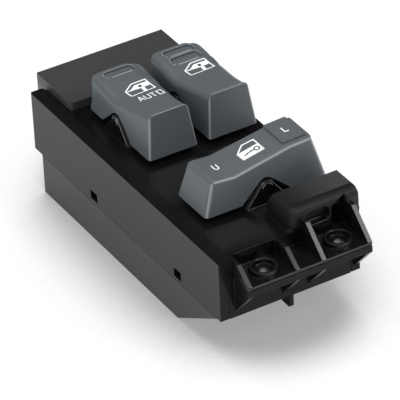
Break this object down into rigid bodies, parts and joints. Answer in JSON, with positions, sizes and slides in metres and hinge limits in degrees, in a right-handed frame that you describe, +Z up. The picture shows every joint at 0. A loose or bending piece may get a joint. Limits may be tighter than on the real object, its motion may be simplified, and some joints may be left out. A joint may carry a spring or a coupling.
{
  "type": "power window switch",
  "caption": "Door control panel with two sprung window rockers side by side, a crosswise door lock rocker, a snap-fit case and a screwed front shelf.",
  "frame": {"origin": "on the flat underside, at the middle of the case's width and of its length", "axes": "+Z up through the rockers, +Y towards the rear block, -Y towards the screwed shelf, +X towards the passenger rocker"},
  "size_m": [0.0448, 0.1119, 0.0444],
  "materials": {
    "case_plastic": "satin",
    "base_plastic": "satin",
    "cover_plastic": "semi-gloss",
    "rocker_plastic": "fine matt",
    "plunger_plastic": "smooth",
    "spring_steel": "drawn wire",
    "contact_brass": "stamped",
    "tinned_pin": "tinned",
    "board_laminate": "lacquered",
    "component_plastic": "moulded",
    "capacitor_can": "sleeved",
    "blackened_screw": "black oxide"
  },
  "bodies": {
    "housing": {"base_tray": "base_plastic", "carrier_frame": "case_plastic", "circuit_board": "board_laminate", "control_chip": "component_plastic", "driver_down_contact": "contact_brass", "driver_fulcrum": "contact_brass", "driver_up_contact": "contact_brass", "left_shelf_screw": "blackened_screw", "lock_down_contact": "contact_brass", "lock_fulcrum": "contact_brass", "lock_up_contact": "contact_brass", "outer_case": "case_plastic", "passenger_down_contact": "contact_brass", "passenger_fulcrum": "contact_brass", "passenger_up_contact": "contact_brass", "right_shelf_screw": "blackened_screw", "smoothing_capacitor": "capacitor_can", "socket_pin_1": "tinned_pin", "socket_pin_10": "tinned_pin", "socket_pin_2": "tinned_pin", "socket_pin_3": "tinned_pin", "socket_pin_4": "tinned_pin", "socket_pin_5": "tinned_pin", "socket_pin_6": "tinned_pin", "socket_pin_7": "tinned_pin", "socket_pin_8": "tinned_pin", "socket_pin_9": "tinned_pin", "top_cover": "cover_plastic", "window_relay": "component_plastic"},
    "driver_rocker": {"driver_window_rocker": "rocker_plastic", "driver_spring": "spring_steel"},
    "driver_plunger": {"driver_plunger": "plunger_plastic"},
    "driver_blade": {"driver_contact_blade": "contact_brass"},
    "passenger_rocker": {"passenger_window_rocker": "rocker_plastic", "passenger_spring": "spring_steel"},
    "passenger_plunger": {"passenger_plunger": "plunger_plastic"},
    "passenger_blade": {"passenger_contact_blade": "contact_brass"},
    "lock_rocker": {"door_lock_rocker": "rocker_plastic", "lock_spring": "spring_steel"},
    "lock_plunger": {"lock_plunger": "plunger_plastic"},
    "lock_blade": {"lock_contact_blade": "contact_brass"}
  },
  "joints": [
    {"name": "driver_rocker_pivot", "type": "hinge", "parent": "housing", "child": "driver_rocker", "pos_m": [-0.00495, 0.0174, 0.0346], "axis": [1, 0, 0], "range_deg": [-5, 5], "stiffness_Nm_per_rad": 0.25},
    {"name": "driver_plunger_slide", "type": "slide", "parent": "driver_rocker", "child": "driver_plunger", "axis": [0, 0, 1], "range_m": [0, 0.0008], "stiffness_N_per_m": 300, "springref_m": -0.002, "deforming": ["driver_spring"]},
    {"name": "driver_blade_tilt", "type": "hinge", "parent": "housing", "child": "driver_blade", "pos_m": [-0.00495, 0.0174, 0.0205], "axis": [1, 0, 0], "range_deg": [-5, 5]},
    {"name": "passenger_rocker_pivot", "type": "hinge", "parent": "housing", "child": "passenger_rocker", "pos_m": [0.0137, 0.0174, 0.0346], "axis": [1, 0, 0], "range_deg": [-5, 5], "stiffness_Nm_per_rad": 0.25},
    {"name": "passenger_plunger_slide", "type": "slide", "parent": "passenger_rocker", "child": "passenger_plunger", "axis": [0, 0, 1], "range_m": [0, 0.0008], "stiffness_N_per_m": 300, "springref_m": -0.002, "deforming": ["passenger_spring"]},
    {"name": "passenger_blade_tilt", "type": "hinge", "parent": "housing", "child": "passenger_blade", "pos_m": [0.0137, 0.0174, 0.0205], "axis": [1, 0, 0], "range_deg": [-5, 5]},
    {"name": "lock_rocker_pivot", "type": "hinge", "parent": "housing", "child": "lock_rocker", "pos_m": [0.0046, -0.02455, 0.0346], "axis": [0, 1, 0], "range_deg": [-4.5, 4.5], "stiffness_Nm_per_rad": 0.25},
    {"name": "lock_plunger_slide", "type": "slide", "parent": "lock_rocker", "child": "lock_plunger", "axis": [0, 0, 1], "range_m": [0, 0.0008], "stiffness_N_per_m": 300, "springref_m": -0.002, "deforming": ["lock_spring"]},
    {"name": "lock_blade_tilt", "type": "hinge", "parent": "housing", "child": "lock_blade", "pos_m": [0.0046, -0.02455, 0.0205], "axis": [0, 1, 0], "range_deg": [-4.5, 4.5]}
  ],
  "couplings": [
    {"joint": "driver_blade_tilt", "follows": "driver_rocker_pivot", "ratio": -1},
    {"joint": "passenger_blade_tilt", "follows": "passenger_rocker_pivot", "ratio": -1},
    {"joint": "lock_blade_tilt", "follows": "lock_rocker_pivot", "ratio": -1}
  ]
}
